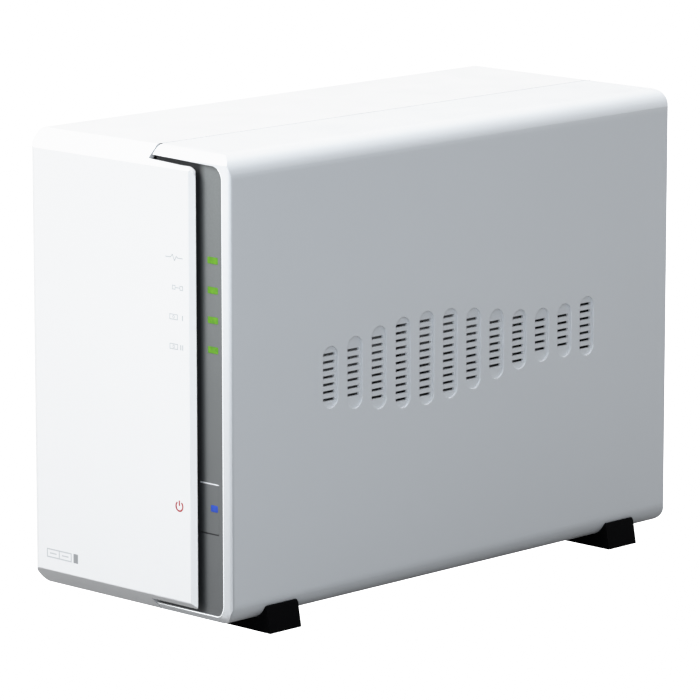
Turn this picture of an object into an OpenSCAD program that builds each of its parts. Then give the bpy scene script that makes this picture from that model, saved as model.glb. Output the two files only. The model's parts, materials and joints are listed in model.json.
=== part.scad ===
// Two-bay desktop network attached storage unit.
// Frame: millimetres, origin at the centre of the footprint on the resting plane,
// front panel towards -Y, rear panel towards +Y, +Z up.
// The body is a right-hand (+X) main shell and a left-hand cover. The cover carries the
// front panel and slides forward off the main shell once its two rear screws are out.

/* [Body] */
// Overall height from the foot pads to the top
total_h = 165; // [164:0.5:170]
// Overall depth of the body
depth = 225.5; // [225:0.5:230]
// Width of the body without the feet
body_w = 96; // [96:0.5:99]
// Height of the underside above the floor
floor_gap = 4.6; // [4.4:0.1:5.4]
// Wall thickness of both shells
wall = 1.8; // [1.6:0.1:1.8]
// Corner radius of the main shell seen from the front
body_r = 8; // [6:0.5:9]
// Corner radius of the cover seen from the front
cover_r = 2; // [1.5:0.5:3]
// Radius of the main shell's upright edges
edge_r = 1.5; // [1.2:0.1:2]
// Radius of the cover's upright edges
cover_edge_r = 3.6; // [2:0.2:3.8]
// Size of the 45 degree chamfer along the front top and bottom edges
chamfer = 6.3; // [6:0.1:6.6]
// Position of the seam between cover and main shell
seam_x = 10.2; // [9:0.1:11.5]
// Width of the seam
seam_gap = 0.25; // [0.15:0.05:0.3]

/* [Front] */
// Thickness of the front panel plate
panel_t = 2.55; // [2.4:0.05:2.6]
// Right-hand edge of the front panel
panel_x = 33.3; // [33:0.1:33.5]
// Distance from the front panel's face to the rim of the main shell
rim_set = 2.95; // [2.9:0.05:3.1]
// Inner edge of the rim on the right
rim_x = 44; // [43.8:0.1:44.4]
// How far the indicator strip lies behind the rim
strip_set = 1.6; // [1.4:0.1:1.6]
// Width of an indicator window
led_w = 5; // [4:0.2:5.4]
// Height of an indicator window
led_h = 2.4; // [2:0.1:2.8]
// Height of the lowest indicator window
led_z = 98.4; // [98:0.1:100]
// Spacing of the indicator windows
led_pitch = 10.13; // [10:0.01:10.4]
// Height of the power button's centre
button_z = 43.8; // [43.6:0.1:45]

/* [Side vents] */
// Number of vent recesses on each side
vent_n = 12; // [6:1:12]
// Width of a vent recess
vent_w = 7.4; // [6:0.2:8]
// Spacing of the vent recesses
vent_pitch = 11.9; // [10:0.1:12]
// Mean height of the vent recesses
vent_h = 26; // [22:1:28]
// Rise and fall of the vent recesses' height
vent_wave = 7; // [0:0.5:8]
// Height of the row of vents above the floor
vent_z = 84; // [80:1:90]
// Depth of a vent recess
vent_d = 0.9; // [0.5:0.1:1]
// Height of one slit
slit_h = 1.0; // [0.8:0.1:1.2]
// Spacing of the slits
slit_pitch = 2.6; // [2.4:0.1:3]

/* [Feet] */
// Width over the flared feet
foot_span = 100; // [99:0.5:102]
// Length of a foot along the body
foot_l = 15; // [12:0.5:18]
// Front edge of the front feet
foot_front = -93.6; // [-96:0.1:-92]
// Front edge of the rear feet
foot_rear = 79.6; // [78:0.1:82]
// Height of a foot's top edge against the side
foot_top = 9.6; // [9:0.1:11]

/* [Fan] */
// Width of the square fan frame
fan_w = 92; // [80:1:92]
// Thickness of the fan
fan_t = 25; // [25:0.5:25.5]
// Height of the fan's axis
fan_z = 114.5; // [114.2:0.1:115]
// Number of fan blades
blade_n = 7; // [5:1:9]

/* [Drives] */
// Thickness of a drive
drive_t = 26.1; // [25:0.1:26.1]
// Length of a drive
drive_l = 147; // [146:0.5:147]
// Width of a drive
drive_w = 101.6; // [101.2:0.1:101.6]

/* [Hidden] */
$fn = 48;

// Ranges are [from, to] pairs: one about a centre, one widened both ways, one from a base
function span(centre, size) = [centre - size / 2, centre + size / 2];
function grow(range, by) = [range[0] - by, range[1] + by];
function off(base, from, to) = [base + from, base + to];
// An x range on the right, or its mirror image on the left
function sided(side, x) = side > 0 ? x : [-x[1], -x[0]];

// Clearances: between parts, under screw heads, in front of a screwed board
fit = 0.02;
seat = 0.03;
board_gap = 0.05;
// Bores that small and large screws bite into, and holes they pass through
small_bore = 1.03;
large_bore = 1.53;
board_hole_r = 1.3;
sheet_hole_r = 1.7;
// An x well outside the body
far = 70;

// Body
half_w = body_w / 2;
back_y = depth / 2;
front_y = -back_y;
body_z = [floor_gap, total_h];
inner_x = half_w - wall;
inner_z = grow(body_z, -wall);
seam_left = seam_x - seam_gap / 2;
seam_right = seam_x + seam_gap / 2;
// Tangent length and inset of a 45 degree arc, per unit of radius
arc_tan = tan(22.5);
arc_inset = 1 - cos(45);

// Front
panel_back = front_y + panel_t;
rim_y = front_y + rim_set;
bezel_y = rim_y + strip_set;
bezel_back = bezel_y + 2.3;
rim_z = [floor_gap + chamfer - rim_set - 0.8, total_h - chamfer + rim_set - 0.7];
rim_r = 4.6;
plate_low = floor_gap + chamfer - panel_t + 0.5;
plate_top = rim_z[1] - 1.1;
led_x = 38;
led_heights = [for (i = [0 : 3]) led_z + i * led_pitch];
button_x = [30, 40.4];
button_rz = span(button_z, 16.8);
lens_x = [36.5, 39.9];
lens_z = off(button_z, -0.9, 1.5);
switch_x = 34.2;
web_x = 41.5;
web_z = [22, 90, 150];
web_y = off(rim_y, 7.5, 9.5);

// Rear panel and the bosses behind its corners
rear_in = back_y - 3.55;
rear_out = rear_in + 1.7;
rear_cut = [rear_in - 1, rear_out + 1];
boss_x = 42.7;
boss_z = [17, 60];
lock_x = 36;
lock_z = 35;

// Feet
foot_starts = [foot_front, foot_rear];
peg_x = 34;
peg_r = 2.5;
pad_x = [24, 47];

// Fan
fan_back = rear_in - 0.1;
fan_front = fan_back - fan_t;
fan_half = fan_w / 2;
fan_hole_x = span(0, fan_w - 9.5);
fan_hole_z = span(fan_z, fan_w - 9.5);

// Drives and cage
sheet_t = 1;
tray_z = 9.4;
shelf_z = 34.6;
shelf_t = 1.2;
drive_gap = 0.2;
drive_low = shelf_z + shelf_t + drive_gap;
drive_top = drive_low + drive_w;
drive_z = [drive_low, drive_top];
drive_back = 54;
drive_front = drive_back - drive_l;
drive_y = [drive_front, drive_back];
drive_1_x = -30.6;
drive_2_x = -1.5;
drive_xs = [drive_1_x, drive_2_x];
drive_hole_x = 6.35;
drive_hole_y = [drive_back - 28.5, drive_back - 130.1];
cage_x = [-32.6, 26.6];
cage_y = [-98, 56];
cage_top_z = off(drive_top + drive_gap, 0, shelf_t);
floor_tab_x = 34;
floor_tab_y = [-60, 10, 66];
side_tab_x = 37;
side_tab_y = [-60, 36];

// Circuit boards
board_t = 1.6;
board_z = 13.4;
board_top = board_z + board_t;
board_hole_x = [-27, 21];
board_hole_y = [-55, 35, 84];
front_board_y = [-95, -95 + board_t];
front_hole_x = 43.2;
front_hole_z = [59, 121];
ear_back = 60;
ear_z = [88.5, 96];
ear_hole_x = grow(cage_x, -4);
ear_hole_z = 92;
backplane_y = off(ear_back + board_gap, 0, board_t);
// Height range of a part that stands h high on the mainboard
function on_board(h) = [board_top + fit, board_top + h];

// Rear sockets
lan_x = [-4, 12];
lan_h = 13.5;
usb_x = [-20.6, -6.4];
usb_h = 15.8;
usb_slots_z = [board_top + 1.6, board_top + 9.2];
dc_x = [14.6, 23.6];
dc_h = 11;
dc_axis = [19.1, board_top + 5.6];
reset_x = -26;
reset_z = board_top + 3;

// Shared colours
screw_grey = [0.75, 0.76, 0.78];
bezel_grey = [0.50, 0.51, 0.52];
base_grey = [0.62, 0.64, 0.66];
lid_grey = [0.80, 0.81, 0.82];
sheet_grey = [0.72, 0.73, 0.75];
socket_grey = [0.78, 0.79, 0.80];
part_black = [0.12, 0.12, 0.13];
frame_black = [0.10, 0.10, 0.11];
jack_black = [0.08, 0.08, 0.09];
board_green = [0.10, 0.35, 0.22];
drive_green = [0.08, 0.28, 0.18];

// Shapes placed by ranges. Most cuts run past the surface they open.
module rounded_rect(x, y, r) {
  translate([x[0] + r, y[0]]) square([x[1] - x[0] - 2 * r, y[1] - y[0]]);
  translate([x[0], y[0] + r]) square([x[1] - x[0], y[1] - y[0] - 2 * r]);
  for (cx = [x[0] + r, x[1] - r], cy = [y[0] + r, y[1] - r]) translate([cx, cy]) circle(r = r);
}
// Upright slot with round ends
module capsule(x, y, w, h) {
  translate([x - w / 2, y - h / 2 + w / 2]) square([w, h - w]);
  for (s = [-1, 1]) translate([x, y + s * (h - w) / 2]) circle(d = w);
}
// A slight rise towards the seam along an upper edge at height z
module rise(x, z, h) polygon([[x[0], z - 0.6], [x[0], z + h], [x[1], z], [x[1], z - 0.6]]);
module prism_x(x)
  translate([x[0], 0, 0]) rotate([90, 0, 90]) linear_extrude(height = x[1] - x[0]) children();
module prism_y(y)
  translate([0, y[1], 0]) rotate([90, 0, 0]) linear_extrude(height = y[1] - y[0]) children();
module prism_z(z) translate([0, 0, z[0]]) linear_extrude(height = z[1] - z[0]) children();
module box(x, y, z)
  translate([x[0], y[0], z[0]]) cube([x[1] - x[0], y[1] - y[0], z[1] - z[0]]);
module cyl_x(y, z, x, r)
  translate([x[0], y, z]) rotate([0, 90, 0]) cylinder(h = x[1] - x[0], r = r);
module cyl_y(x, z, y, r)
  translate([x, y[1], z]) rotate([90, 0, 0]) cylinder(h = y[1] - y[0], r = r);
module cyl_z(x, y, z, r) translate([x, y, z[0]]) cylinder(h = z[1] - z[0], r = r);

// Pan head screw with a cross recess, head up, underside of the head at z = 0
module screw(length, r, head_r, head_h) difference() {
  union() {
    translate([0, 0, -length]) cylinder(h = length + 0.2, r = r);
    cylinder(h = head_h * 0.6, r = head_r);
    translate([0, 0, head_h * 0.6])
      cylinder(h = head_h * 0.4, r1 = head_r, r2 = head_r * 0.72);
  }
  for (a = [0, 90]) rotate([0, 0, a])
    translate([-head_r * 0.5, -head_r * 0.13, head_h * 0.4])
      cube([head_r, head_r * 0.26, head_h]);
}
// The head faces +Y or +Z, or the other way with facing = -1
module screw_y(at, length, r, head_r, head_h, facing = 1)
  translate(at) rotate([facing > 0 ? -90 : 90, 0, 0]) screw(length, r, head_r, head_h);
module screw_z(at, length, r, head_r, head_h, facing = 1)
  translate(at) rotate([facing > 0 ? 0 : 180, 0, 0]) screw(length, r, head_r, head_h);

// ---- Shells ----

// Side profile: 45 degree chamfers at the front top and bottom, small radii at the rear.
// The upper chamfer runs into the top through an arc of radius top_r, the front plane at
// face_y runs into the lower chamfer through an arc of radius low_r.
module side_profile(top_r, face_y, low_r) {
  slope_y = front_y + chamfer;
  arc_y = slope_y + top_r * arc_tan;
  low_in = low_r * arc_inset;
  intersection() {
    difference() {
      polygon([[front_y, floor_gap + chamfer], [slope_y, floor_gap], [back_y, floor_gap],
        [back_y, total_h], [slope_y, total_h], [front_y, total_h - chamfer]]);
      difference() {
        polygon([[slope_y - top_r * arc_inset, total_h - top_r * arc_inset],
          [slope_y - 1, total_h + 1], [arc_y, total_h + 1],
          [arc_y, total_h - top_r], [slope_y + top_r * 0.2, total_h - top_r]]);
        translate([arc_y, total_h - top_r]) circle(r = top_r);
      }
      translate([face_y, floor_gap + chamfer - face_y + front_y]) difference() {
        polygon([[-1, low_r * arc_tan], [low_r * 0.2, low_r * arc_tan],
          [low_in, -low_in], [low_in - 1, -low_in - 1], [-1, -1]]);
        translate([low_r, low_r * arc_tan]) circle(r = low_r);
      }
    }
    rounded_rect([front_y, back_y], body_z, 2);
  }
}
// Outer form of the body from a given front plane, with rounded upright edges
module outer_form(x, face_y, top_r, low_r, upright_r) intersection() {
  prism_y([face_y, back_y]) {
    rounded_rect([-half_w, 20], body_z, cover_r);
    rounded_rect([-20, half_w], body_z, body_r);
  }
  prism_x([-half_w - 1, half_w + 1]) side_profile(top_r, face_y, low_r);
  prism_z([0, total_h + 1]) rounded_rect(x, [face_y, back_y], upright_r);
}
// Inner space behind the front panel, its ends chamfered in parallel with the outside
module inner_space() {
  face_in = chamfer - panel_t + wall * 1.414;
  slope_y = panel_back + face_in - wall;
  intersection() {
    prism_y([panel_back, back_y + 1])
      rounded_rect([-inner_x, far], inner_z, max(cover_r - wall, 0.5));
    prism_z([0, total_h]) rounded_rect([-inner_x, far + 1], [panel_back, back_y + 3], 0.8);
    prism_x([-half_w - 1, far + 1]) polygon([
      [panel_back, floor_gap + face_in], [slope_y, inner_z[0]], [back_y + 1, inner_z[0]],
      [back_y + 1, inner_z[1]], [slope_y, inner_z[1]], [panel_back, total_h - face_in]]);
  }
}
// Opening inside the main shell's rim, drawn in by a gap
module rim_outline(left_x, gap) {
  rounded_rect([left_x, rim_x - gap], grow(rim_z, -gap), rim_r - gap);
  rise([seam_x - 1, rim_x - rim_r], rim_z[1] - gap, 0.9);
}

function vent_y(i) = -66 + vent_w / 2 + i * vent_pitch;
function vent_len(i) = vent_h + vent_wave * sin(i * 360 / 11 - 40);
// Row of upright rounded recesses, each with horizontal slits through the wall
module vents(side) for (i = [0 : vent_n - 1]) {
  prism_x(sided(side, [half_w - vent_d, half_w + 1]))
    capsule(vent_y(i), vent_z, vent_w, vent_len(i));
  for (k = [-7 : 7]) if (abs(k * slit_pitch) <= vent_len(i) / 2 - 2.6)
    box(sided(side, [inner_x - 1, half_w + 1]), span(vent_y(i), vent_w - 1.8),
      span(vent_z + k * slit_pitch, slit_h));
}
// Bosses behind the rear panel, each tied to the side wall by a rib
module rear_bosses(side, gap) for (z = boss_z) {
  y = [rear_in - 13.1, rear_in - gap];
  cyl_y(side * boss_x, z, y, 3);
  box(sided(side, [boss_x, inner_x + 0.2]), y, span(z, 2));
}
module rear_bores(side, r) for (z = boss_z)
  cyl_y(side * boss_x, z, [rear_in - 11, rear_in + 1], r);
module peg_holes(side) for (y = foot_starts)
  cyl_z(side * peg_x, y + foot_l / 2, [floor_gap - 1, inner_z[0] + 1], peg_r + 0.05);

module main_wall() difference() {
  intersection() {
    outer_form([-far, half_w], rim_y, 5, 6, edge_r);
    union() {
      box([seam_right, half_w + 1], [front_y + chamfer + 2, back_y + 1], [0, total_h + 1]);
      box([seam_right + 0.45, half_w + 1], [front_y - 1, back_y], [0, total_h + 1]);
    }
  }
  prism_y([rim_y + 5, back_y + 1]) rounded_rect([-far, inner_x], inner_z, body_r - wall);
  prism_y([rim_y - 1, rim_y + 5.1]) rim_outline(-far, 0);
  vents(1);
}
// Tongues that run under the cover's edges; columns: underside of tongue, of its root
module tongues() {
  y = [rim_y + 6, back_y - 4];
  for (t = [[inner_z[0] + 0.3, inner_z[0] - 0.2], [inner_z[1] - 1.5, inner_z[1] - 0.5]]) {
    box([seam_x - 3.5, seam_x + 4], y, [t[0], t[0] + 1.2]);
    box([seam_x + 0.6, seam_x + 4], y, [t[1], t[1] + 0.7]);
  }
}
module main_shell() color([0.90, 0.91, 0.92]) {
  wall_x = inner_x + 0.2;
  difference() {
    union() {
      main_wall();
      tongues();
      rear_bosses(1, 0.05);
      // webs that take the bezel's screws
      for (z = web_z) box([38.5, wall_x], web_y, span(z, 8));
      // bosses for the front board
      for (z = front_hole_z)
        box([41, wall_x], [front_board_y[1] + board_gap, -84], span(z, 6));
      // floor bosses and side brackets for the drive cage
      for (y = floor_tab_y) cyl_z(floor_tab_x, y, [inner_z[0] - 0.2, tray_z - fit], 3.5);
      for (y = side_tab_y) box([33, wall_x], span(y, 9), off(drive_top, -4, 0.18));
    }
    rear_bores(1, large_bore);
    for (z = web_z) cyl_y(web_x, z, off(rim_y, 7, 10), 1.2);
    for (z = front_hole_z) cyl_y(front_hole_x, z, [-94, -86], small_bore);
    for (y = floor_tab_y) cyl_z(floor_tab_x, y, [floor_gap + 0.8, tray_z + 1], large_bore);
    for (y = side_tab_y) cyl_z(side_tab_x, y, off(drive_top, -5, 1), large_bore);
    peg_holes(1);
  }
}

// Front panel's outline, with a shallow bevel along its right-hand edge, undercut behind
module front_plate() intersection() {
  prism_y([front_y - 1, panel_back]) {
    intersection() {
      rounded_rect([-far, panel_x], [plate_low, plate_top + 9], 1.6);
      rounded_rect([-far, panel_x], [plate_low - 9, plate_top], 4.2);
    }
    rise([seam_x - 2, 26], plate_top, 0.75);
  }
  prism_z([0, total_h + 1]) polygon([[-far, front_y], [panel_x - 2, front_y],
    [panel_x, front_y + 1.45], [panel_x - 1.2, panel_back], [-far, panel_back]]);
}
module cover_shell() color([0.95, 0.95, 0.96]) difference() {
  union() {
    difference() {
      intersection() {
        outer_form([-half_w, far], front_y, 1.5, 1, cover_edge_r);
        union() {
          box([-half_w - 1, seam_left], [front_y - 1, back_y + 1], [0, total_h + 1]);
          front_plate();
        }
      }
      inner_space();
      vents(-1);
    }
    rear_bosses(-1, 0.2);
    // stiffening ribs behind the front panel
    for (x = [-20, -4]) box(span(x, 1.2), off(panel_back, -0.2, 3), [30, 136]);
    for (z = [32, 84, 134])
      box([-inner_x - 0.2, 5], off(panel_back, -0.2, 2.4), span(z, 1.2));
  }
  rear_bores(-1, 1.56);
  peg_holes(-1);
}

// ---- Rear panel ----

module fan_cyl(y, r) cyl_y(0, fan_z, y, r);
module on_fan_axis(angle) translate([0, 0, fan_z]) rotate([0, angle, 0]) children();

// Rear panel with a ring-slot finger guard over the fan and cut-outs for the ports
module rear_panel() color([0.60, 0.62, 0.64]) difference() {
  prism_y([rear_in, rear_out])
    rounded_rect(span(0, 2 * (inner_x - 0.3)), grow(inner_z, -1.9), body_r - wall - 1.5);
  difference() {
    for (r = [8 : 4.6 : 40]) difference() {
      fan_cyl(rear_cut, r + 3);
      fan_cyl(grow(rear_cut, 1), r);
    }
    for (a = [45, 135]) on_fan_axis(a) box([-50, 50], grow(rear_cut, 2), [-1.6, 1.6]);
  }
  for (x = fan_hole_x, z = fan_hole_z) cyl_y(x, z, rear_cut, 2.3);
  for (x = [-boss_x, boss_x], z = boss_z) cyl_y(x, z, rear_cut, sheet_hole_r);
  prism_y(rear_cut) rounded_rect([-21.6, 24.6], off(board_top, -0.7, 16.9), 1);
  cyl_y(reset_x, reset_z, rear_cut, 1.2);
  prism_y(rear_cut) capsule(lock_x, lock_z, 3.2, 7.4);
  // row of short vents above the ports
  for (x = [-24 : 4 : 24]) prism_y(rear_cut) capsule(x, 49, 2, 14);
}

// Thin plate behind the rear panel with the cut-outs for the ports
module port_plate() color(socket_grey) difference() {
  prism_y(off(rear_in, -0.85, -0.05))
    rounded_rect([-23, 26], off(board_top, -1.4, 18), 1.5);
  for (p = [[lan_x, lan_h], [usb_x, usb_h], [dc_x, dc_h]])
    box(grow(p[0], 0.25), [rear_in - 2, rear_out + 1], off(board_top, -0.3, p[1] + 0.3));
}

module lock_plate() color(sheet_grey) difference() {
  box(span(lock_x, 10), off(rear_in, -1.6, -0.03), span(lock_z, 14));
  prism_y(off(rear_in, -3, 1)) capsule(lock_x, lock_z, 3.1, 7.3);
}

module rear_screws(side) for (z = boss_z)
  screw_y([side * boss_x, rear_out + fit, z], length = 10, r = 1.5, head_r = 2.8, head_h = 1.75);
module cover_screws() color(screw_grey) rear_screws(-1);
module rear_panel_screws() color(screw_grey) rear_screws(1);

// ---- Front bezel, indicators and power button ----

module led_bars(y, gap) for (z = led_heights) prism_y(y)
  rounded_rect(span(led_x, led_w - 2 * gap), span(z, led_h - 2 * gap), 0.4 - gap);

module front_bezel() color(bezel_grey) {
  cut_y = [bezel_y - 1, bezel_back + 1];
  difference() {
    union() {
      intersection() {
        prism_y([bezel_y, bezel_back]) rim_outline(0, 0.15);
        box([seam_x + 1.2, 60], [front_y, back_y], [0, total_h]);
      }
      for (z = web_z) cyl_y(web_x, z, [bezel_back - 0.1, rim_y + 7.4], 2.2);
      // stiffening flange along the hidden edge
      box([23, 24.2], off(bezel_back, -0.1, 2.5), grow(rim_z, -0.6));
    }
    led_bars(cut_y, 0);
    prism_y(cut_y)
      rounded_rect([button_x[0] - 0.15, button_x[1] + 0.05], grow(button_rz, 0.25), 0.7);
    for (z = web_z) cyl_y(web_x, z, [bezel_back + 0.3, rim_y + 8], 1.0);
  }
}

module light_windows() color([0.45, 0.72, 0.20]) led_bars(off(bezel_y, -0.05, 1.9), 0.05);

module light_pipe() color([0.85, 0.90, 0.92]) {
  for (z = led_heights) box(span(led_x, 4.2), [bezel_y + 1.95, -96.7], span(z, 2));
  box(span(led_x, 2), off(bezel_y, 3.6, 5.2), [led_z, led_heights[3]]);
}

module led_chips() color([0.92, 0.92, 0.85]) {
  y = [-96.5, front_board_y[0] - fit];
  for (z = led_heights) box(span(led_x, 3), y, span(z, 1.6));
  box([37.6, 39.2], y, off(button_z, -0.5, 1.1));
}

module power_button() color(bezel_grey) difference() {
  union() {
    prism_y([bezel_y, bezel_back + 0.2]) rounded_rect(button_x, button_rz, 0.65);
    prism_y(off(bezel_back, 0.05, 1.2))
      rounded_rect(grow(button_x, 1.2), grow(button_rz, 1.2), 0.8);
    cyl_y(switch_x, button_z, [bezel_back + 1, -100.1], 2);
  }
  prism_y(off(bezel_y, -1, 5)) rounded_rect(lens_x, lens_z, 0.4);
}

module power_button_lens() color([0.20, 0.32, 0.80])
  prism_y(off(bezel_y, -0.05, 3.4)) rounded_rect(grow(lens_x, -0.05), grow(lens_z, -0.05), 0.35);

module power_switch() color(part_black) difference() {
  box(span(switch_x, 6), [-99, front_board_y[0] - fit], span(button_z, 6));
  cyl_y(switch_x, button_z, [-100, -97.1], 1.75);
}

module power_switch_stem() color([0.85, 0.80, 0.70])
  cyl_y(switch_x, button_z, [-100.08, -98.1], 1.7);

module front_board() color(board_green) difference() {
  box([30, 45.4], front_board_y, [30, 136]);
  for (z = front_hole_z) cyl_y(front_hole_x, z, [-96, -93], board_hole_r);
}

module front_board_screws() color(screw_grey) for (z = front_hole_z)
  screw_y([front_hole_x, front_board_y[0] - seat, z],
    length = 7.5, r = 1.0, head_r = 2.0, head_h = 1.5, facing = -1);

module bezel_screws() color(screw_grey) for (z = web_z)
  screw_y([web_x, web_y[1] + seat, z], length = 5.1, r = 0.97, head_r = 2.0, head_h = 1.4);

// ---- Feet ----

// Right foot: flared towards the bottom, fitted round the body's lower edge of radius r
module foot(y, r) {
  end_y = y + foot_l;
  difference() {
    union() {
      intersection() {
        prism_y([y, end_y]) difference() {
          polygon([[21, 0.1], [foot_span / 2, 0.1], [half_w + 0.3, foot_top], [30, foot_top]]);
          rounded_rect(span(0, body_w + 0.06), [floor_gap - 0.03, total_h], r);
        }
        prism_x([0, 80]) polygon([[y, 0], [end_y, 0], [end_y, foot_top - 1],
          [end_y - 1, foot_top + 1], [y + 1, foot_top + 1], [y, foot_top - 0.7]]);
      }
      cyl_z(peg_x, y + foot_l / 2, [3, inner_z[0] + 0.5], peg_r);
    }
    box(pad_x, [y + 2.4, end_y - 2.4], [0, 1.65]);
  }
}
module feet(r) for (y = foot_starts) foot(y, r);
module pads() for (y = foot_starts)
  prism_z([0, 1.6]) rounded_rect(grow(pad_x, -0.1), [y + 2.5, y + foot_l - 2.5], 1.5);
module right_feet() color([0.05, 0.05, 0.06]) feet(body_r);
module left_feet() color([0.05, 0.05, 0.06]) mirror([1, 0, 0]) feet(cover_r);
module right_foot_pads() color(frame_black) pads();
module left_foot_pads() color(frame_black) mirror([1, 0, 0]) pads();

// ---- Drive cage ----

module cage_sheets() {
  tray = off(tray_z, 0, sheet_t);
  right_x = cage_x[1] - sheet_t;
  box(cage_x, [cage_y[0], 106], tray);
  for (x = [cage_x[0], right_x]) {
    box([x, x + sheet_t], cage_y, [tray_z, cage_top_z[1]]);
    box([x, x + sheet_t], [cage_y[1] - 1, ear_back], ear_z);
  }
  box(cage_x, cage_y, off(shelf_z, 0, shelf_t));
  box(cage_x, cage_y, cage_top_z);
  // flanges to the main shell
  for (y = floor_tab_y) box([right_x, 38], span(y, 10), tray);
  for (y = side_tab_y) box([right_x, 41], span(y, 9), cage_top_z);
  // ears that hold the backplane board
  for (x = [cage_x[0], cage_x[1] - 8]) box([x, x + 8], [ear_back - 1, ear_back], ear_z);
  // standoffs under the mainboard
  for (x = board_hole_x, y = board_hole_y) cyl_z(x, y, [tray_z + 0.5, board_z - fit], 2.5);
}
// Air openings in the sides, the shelf, the top and the tray
module cage_openings() {
  side_cut = grow(cage_x, 1);
  for (y = [-66, -22, 22]) prism_x(side_cut) rounded_rect(span(y, 34), [46, 128], 8);
  prism_x(side_cut) rounded_rect([-60, 46], [15, 31], 4);
  for (y = [-40, 0]) prism_z(off(shelf_z, -1, 3)) rounded_rect([-24, 18], span(y, 30), 5);
  for (y = [-50, -14, 22])
    prism_z(off(drive_top, -1, 3)) rounded_rect([-16, 10], [y - 12, y + 9], 5);
  for (y = [-80, -30, 10, 55])
    prism_z(off(tray_z, -1, 2)) rounded_rect([-20, 14], span(y, 24), 5);
}
// Sheet steel cage: a lower tray under the mainboard, two sides, and a shelf and a top
// that hold the drives
module drive_cage() color(sheet_grey) difference() {
  cage_sheets();
  for (x = board_hole_x, y = board_hole_y) cyl_z(x, y, [tray_z - 1, board_z + 1], small_bore);
  for (y = floor_tab_y) cyl_z(floor_tab_x, y, off(tray_z, -1, 2), sheet_hole_r);
  for (y = side_tab_y) cyl_z(side_tab_x, y, off(drive_top, -1, 3), sheet_hole_r);
  for (x = drive_xs, y = drive_hole_y, z = [off(shelf_z, -1, 2), off(drive_top, 0, 3)])
    cyl_z(x + drive_hole_x, y, z, 1.8);
  for (x = ear_hole_x) cyl_y(x, ear_hole_z, [58, 61], small_bore);
  cage_openings();
}

module cage_screws() color(screw_grey) {
  for (y = floor_tab_y) screw_z([floor_tab_x, y, tray_z + sheet_t + seat],
    length = 3.8, r = 1.5, head_r = 2.8, head_h = 2);
  for (y = side_tab_y) screw_z([side_tab_x, y, cage_top_z[1] + seat],
    length = 5, r = 1.5, head_r = 2.8, head_h = 2);
}

// ---- Drives, each on its side from its left face at x, with the lid to the right ----

module drive_base(x) difference() {
  prism_x([x + 0.1, x + drive_t - 1.3]) rounded_rect(drive_y, drive_z, 2.5);
  box(off(x, -1, 2.6), [-26, drive_back + 1], grow(drive_z, -5));
  prism_x(off(x, -1, 1.6)) rounded_rect([drive_front + 6, -30], grow(drive_z, -8), 6);
  box(off(x, 1.5, 8.6), [47.8, drive_back + 1], off(drive_low, 10, 52));
  for (y = drive_hole_y, z = [off(drive_low, -1, 5), off(drive_top, -5, 1)])
    cyl_z(x + drive_hole_x, y, z, 1.64);
}
module drive_lid(x) {
  lid_x = x + drive_t;
  difference() {
    union() {
      prism_x(off(lid_x, -1.28, -0.4))
        rounded_rect(grow(drive_y, -1.5), grow(drive_z, -1.5), 6);
      prism_x([lid_x - 0.5, lid_x])
        rounded_rect([drive_front + 12, drive_back - 40], grow(drive_z, -8), 30);
    }
    for (y = grow(drive_y, -6), z = grow(drive_z, -6)) cyl_x(y, z, off(lid_x, -1.1, 0.9), 2);
  }
}
module drive_board(x) {
  difference() {
    box(off(x, 0.4, 2.0), [-22, 46], grow(drive_z, -8));
    for (z = grow(drive_z, -13)) cyl_x(-17, z, [x, x + 3], 1.6);
  }
  box(off(x, -0.6, 0.5), [0, 16], off(drive_low, 40, 56));
  box(off(x, -0.5, 0.5), [24, 36], off(drive_low, 62, 71));
  box(off(x, -0.4, 0.5), [-14, -4], off(drive_low, 24, 33));
}
module drive_1_base() color(base_grey) drive_base(drive_1_x);
module drive_2_base() color(base_grey) drive_base(drive_2_x);
module drive_1_lid() color(lid_grey) drive_lid(drive_1_x);
module drive_2_lid() color(lid_grey) drive_lid(drive_2_x);
module drive_1_board() color(drive_green) drive_board(drive_1_x);
module drive_2_board() color(drive_green) drive_board(drive_2_x);

// Columns: height under the head, facing
module drive_screws() color(screw_grey)
  for (x = drive_xs, y = drive_hole_y, s = [[shelf_z - seat, -1], [cage_top_z[1] + seat, 1]])
    screw_z([x + drive_hole_x, y, s[0]],
      length = 5, r = 1.6, head_r = 3, head_h = 1.8, facing = s[1]);

// ---- Backplane ----

module backplane_board() color(board_green) difference() {
  union() {
    box(grow(cage_x, -1.2), backplane_y, off(drive_low, 2, 60));
    box([-18, 13], backplane_y, [board_top + 2.2, drive_low + 3]);
  }
  for (x = ear_hole_x) cyl_y(x, ear_hole_z, [59, 63], board_hole_r);
  for (x = [-14, 15]) prism_y([59, 63]) rounded_rect(span(x, 8), [58, 88], 1.5);
}
module backplane_screws() color(screw_grey) for (x = ear_hole_x)
  screw_y([x, backplane_y[1] + seat, ear_hole_z],
    length = 4, r = 1.0, head_r = 2.0, head_h = 1.4);

module sata_connectors() color(frame_black) for (x = drive_xs) {
  box(off(x, 1.9, 8.1), [54.2, ear_back], off(drive_low, 10.5, 51.5));
  for (z = [off(drive_low, 12, 26), off(drive_low, 28, 50)])
    box(off(x, 4.2, 5.7), [49, 54.3], z);
}

module board_slot() color(part_black) difference() {
  box([-21, 16], [57.9, 63.8], on_board(8.5));
  box([-18.3, 13.3], grow(backplane_y, 0.1), off(board_top, 2, 10));
}

// ---- Mainboard ----

module mainboard() color([0.08, 0.33, 0.20]) difference() {
  prism_z([board_z, board_top]) rounded_rect([-31, 25], [-60, 108.2], 1.5);
  for (x = board_hole_x, y = board_hole_y)
    cyl_z(x, y, [board_z - 1, board_top + 1], board_hole_r);
}
module mainboard_screws() color(screw_grey) for (x = board_hole_x, y = board_hole_y)
  screw_z([x, y, board_top + seat], length = 5, r = 1.0, head_r = 2.2, head_h = 1.6);

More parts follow.
